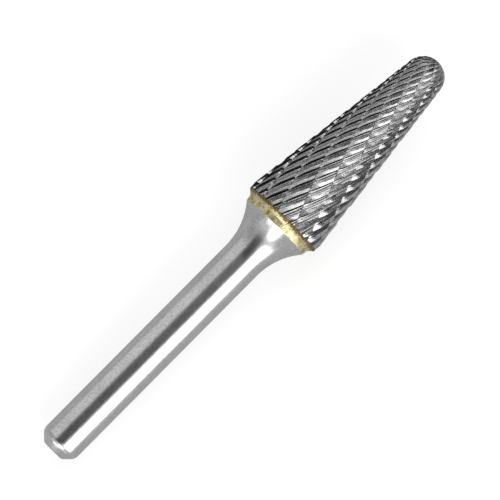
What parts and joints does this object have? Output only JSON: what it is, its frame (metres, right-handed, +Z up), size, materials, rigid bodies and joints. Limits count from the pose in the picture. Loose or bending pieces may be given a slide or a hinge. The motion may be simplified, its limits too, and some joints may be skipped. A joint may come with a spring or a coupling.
{
  "type": "carbide burr",
  "caption": "Rotary carbide burr: ball-nosed cone with a right-hand double cut, brazed to a straight steel shank with a flared neck.",
  "frame": {"origin": "on the surface that the burr lies on, below the middle of its box", "axes": "+X runs along the burr from the driven end of the shank to the tip, with the axis rising by 4.4 degrees towards the tip; +Z is up from the surface"},
  "size_m": [0.0754, 0.0126, 0.0125],
  "materials": {
    "steel": "fine ground, bright",
    "braze": "as brazed, mottled pale gold",
    "carbide": "ground tungsten carbide, dark grey"
  },
  "bodies": {
    "root": {"shank": "steel", "braze_joint": "braze", "cutting_head": "carbide"}
  },
  "joints": []
}
